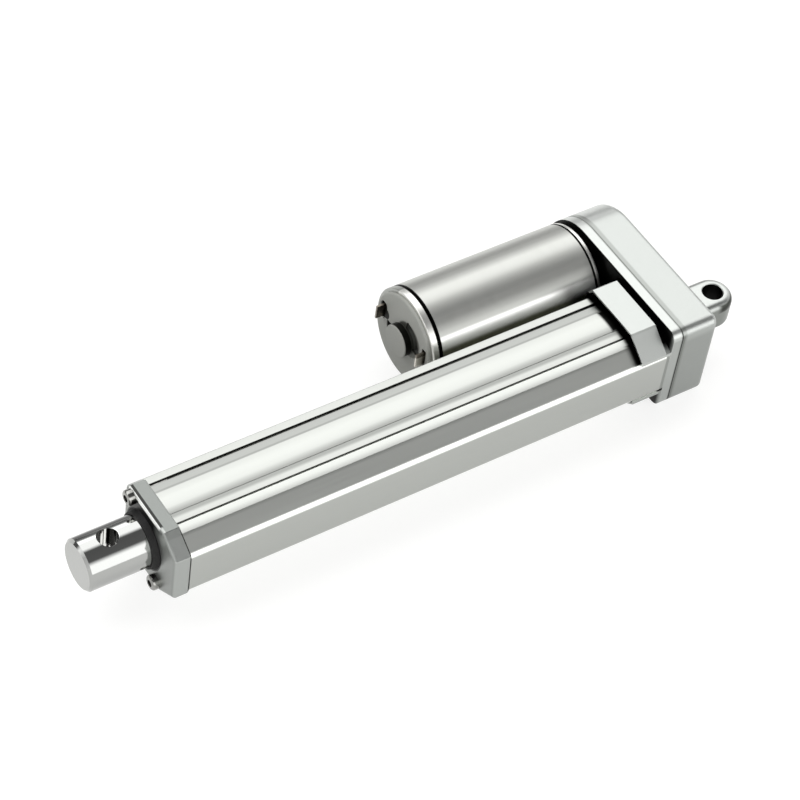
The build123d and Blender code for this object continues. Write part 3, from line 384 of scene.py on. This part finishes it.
# Stacked electrical steel: thin sheets 0.5 mm thick, seen edge on as fine rings.
laminatedSteel = {
    "dark": "#6A6A6C", "light": "#858587", "metallic": 1.0, "roughness": (0.35, 0.5),
    "cloudMm": 6, "grainMm": 0.5, "bump": 0.3, "depthMm": 0.03, "stretch": (1, 0.02, 0.02)}
dress(makeFinish("laminatedSteel", laminatedSteel), "rotor_core")

# Enamelled copper wire, wound: a warm brown under clear varnish.
enamelledCopper = {
    "dark": "#7A3A1A", "light": "#A4562B", "metallic": 1.0, "roughness": (0.2, 0.32),
    "cloudMm": 5, "grainMm": 0.5, "bump": 0.4, "depthMm": 0.06, "Coat Weight": 0.6, "Coat Roughness": 0.1}
dress(makeFinish("enamelledCopper", enamelledCopper), "rotor_windings", "commutator")

# Circuit board: green solder mask over glass fibre, glossy.
solderMask = {
    "dark": "#0F4A26", "light": "#17602F", "metallic": 0.0, "roughness": (0.2, 0.3), "IOR": 1.5,
    "cloudMm": 6, "grainMm": 0.4, "bump": 0.08, "depthMm": 0.01, "Coat Weight": 0.4, "Coat Roughness": 0.1}
dress(makeFinish("solderMask", solderMask), "limit_switch_board")

# Compressed fibre gasket: near black, painted lighter where it shows on top.
fibreGasket = {
    "dark": "#1A1B19", "light": "#282926", "metallic": 0.0, "roughness": (0.7, 0.85), "IOR": 1.5,
    "cloudMm": 4, "grainMm": 0.3, "bump": 0.3, "depthMm": 0.03,
    "places": [
        # painted light on the housing's gasket, all but its near side, and on top of the cap's gasket
        {"middle": (31.7, -20, 0), "half": (2, 37, 90), "softMm": (1, 3, 1), "tone": "#7E817D"},
        {"middle": (242.6, -3, 20), "half": (1, 14, 7), "softMm": (1, 3, 2), "tone": "#9DA09C"}]}
dress(makeFinish("fibreGasket", fibreGasket), "front_cap_gasket", "gear_housing_gasket")
print("materials made:", len(bpy.data.materials))

# Studio: a pale paper floor, which lights itself only where the camera or a reflection sees it.
floorLook = {"sizeM": 6.0, "gapMm": 0.2, "color": "#9A9A98", "lift": 0.75, "grainPerM": 120.0, "bump": 0.02}
floorMesh = bpy.data.meshes.new("studioFloor")
half = floorLook["sizeM"] / 2
floorZ = cadBox[0][2] - floorLook["gapMm"] / mmPerMetre
floorMesh.from_pydata([(-half, -half, floorZ), (half, -half, floorZ), (half, half, floorZ), (-half, half, floorZ)],
                      [], [(0, 1, 2, 3)])
floor = bpy.data.objects.new("studioFloor", floorMesh)
scene.collection.objects.link(floor)
floorPaper, tree = newMaterial("studioPaper")
paperGrain = addNode(tree, "ShaderNodeTexNoise", {}, {"Vector": placeOnPiece(tree), "Scale": floorLook["grainPerM"]})
paperBump = addNode(tree, "ShaderNodeBump", {}, {"Height": paperGrain.outputs["Fac"], "Strength": floorLook["bump"]})
paper = addNode(tree, "ShaderNodeBsdfDiffuse", {}, {
    "Color": linear(floorLook["color"]), "Normal": paperBump.outputs["Normal"]})
path = addNode(tree, "ShaderNodeLightPath", {}, {})
glossyToo = addNode(tree, "ShaderNodeMath", {"operation": "MAXIMUM"}, {
    0: path.outputs["Is Camera Ray"], 1: path.outputs["Is Glossy Ray"]})
seen = addNode(tree, "ShaderNodeMath", {"operation": "MAXIMUM"}, {
    0: glossyToo.outputs[0], 1: path.outputs["Is Transmission Ray"]})
liftLevel = addNode(tree, "ShaderNodeMath", {"operation": "MULTIPLY"}, {0: seen.outputs[0], 1: floorLook["lift"]})
lift = addNode(tree, "ShaderNodeEmission", {}, {"Color": linear("#FFFFFF"), "Strength": liftLevel.outputs[0]})
mixed = addNode(tree, "ShaderNodeAddShader", {}, {0: paper.outputs[0], 1: lift.outputs[0]})
addNode(tree, "ShaderNodeOutputMaterial", {}, {"Surface": mixed.outputs[0]})
floorMesh.materials.append(floorPaper)

# A sky of long strip lights that run along the tube. Angles are round the tube's axis, from
# straight up (0) towards the open side (+90). Both ends of the sky fade to one tone.
skyLook = {
    "strength": 2.4,
    "stops": [(-180, 0.4), (-95, 0.4), (-89, 0.06), (-72, 0.06), (-54, 0.95), (-18, 0.95), (-5, 0.07),
              (39, 0.08), (56, 1.0), (98, 1.0), (112, 0.7), (128, 0.5), (146, 0.34), (180, 0.3)],
    "endTone": 0.4, "endFrom": 0.75, "endTo": 0.97}
world = bpy.data.worlds.new("studioSky")
world.use_nodes = True
scene.world = world
tree = world.node_tree
tree.nodes.clear()
direction = addNode(tree, "ShaderNodeTexCoord", {}, {})
axes = addNode(tree, "ShaderNodeSeparateXYZ", {}, {0: direction.outputs["Generated"]})
around = addNode(tree, "ShaderNodeMath", {"operation": "ARCTAN2"}, {0: axes.outputs["Y"], 1: axes.outputs["Z"]})
turn = addNode(tree, "ShaderNodeMapRange", {}, {"Value": around.outputs[0], "From Min": -math.pi, "From Max": math.pi})
strips = addNode(tree, "ShaderNodeValToRGB", {}, {"Fac": turn.outputs["Result"]})
setStops(strips.color_ramp, [((angle + 180) / 360, tone) for angle, tone in skyLook["stops"]])
along = addNode(tree, "ShaderNodeMath", {"operation": "ABSOLUTE"}, {0: axes.outputs["X"]})
ends = addNode(tree, "ShaderNodeMapRange", {"interpolation_type": "SMOOTHSTEP"}, {
    "Value": along.outputs[0], "From Min": skyLook["endFrom"], "From Max": skyLook["endTo"]})
endTone = skyLook["endTone"]
sky = addNode(tree, "ShaderNodeMix", {"data_type": "RGBA"}, {
    0: ends.outputs["Result"], 6: strips.outputs["Color"], 7: (endTone, endTone, endTone, 1)})
glow = addNode(tree, "ShaderNodeBackground", {}, {"Color": sky.outputs[2], "Strength": skyLook["strength"]})
addNode(tree, "ShaderNodeOutputWorld", {}, {"Surface": glow.outputs[0]})
print("studio ready")

# Camera at the photograph's angle: where it stands and looks, in metres, and how far it leans, in degrees.
cameraLook = {"stands": (0.6, 0.5544, 0.8273), "looksAt": (0.1336, -0.01325, 0.0), "leans": 9.285,
              "lensMm": 135.0, "sensorMm": 36, "nearestM": 0.01}
camera = bpy.data.objects.new("camera", bpy.data.cameras.new("camera"))
camera.data.lens = cameraLook["lensMm"]
camera.data.sensor_width = cameraLook["sensorMm"]
camera.data.clip_start = cameraLook["nearestM"]
camera.location = cameraLook["stands"]
aim = Vector(cameraLook["looksAt"]) - Vector(cameraLook["stands"])
lean = Matrix.Rotation(math.radians(cameraLook["leans"]), 3, "Z")
camera.rotation_euler = (aim.to_track_quat("-Z", "Y").to_matrix() @ lean).to_euler()
scene.collection.objects.link(camera)
scene.camera = camera
scene.view_settings.view_transform = "Standard"
print("camera set")
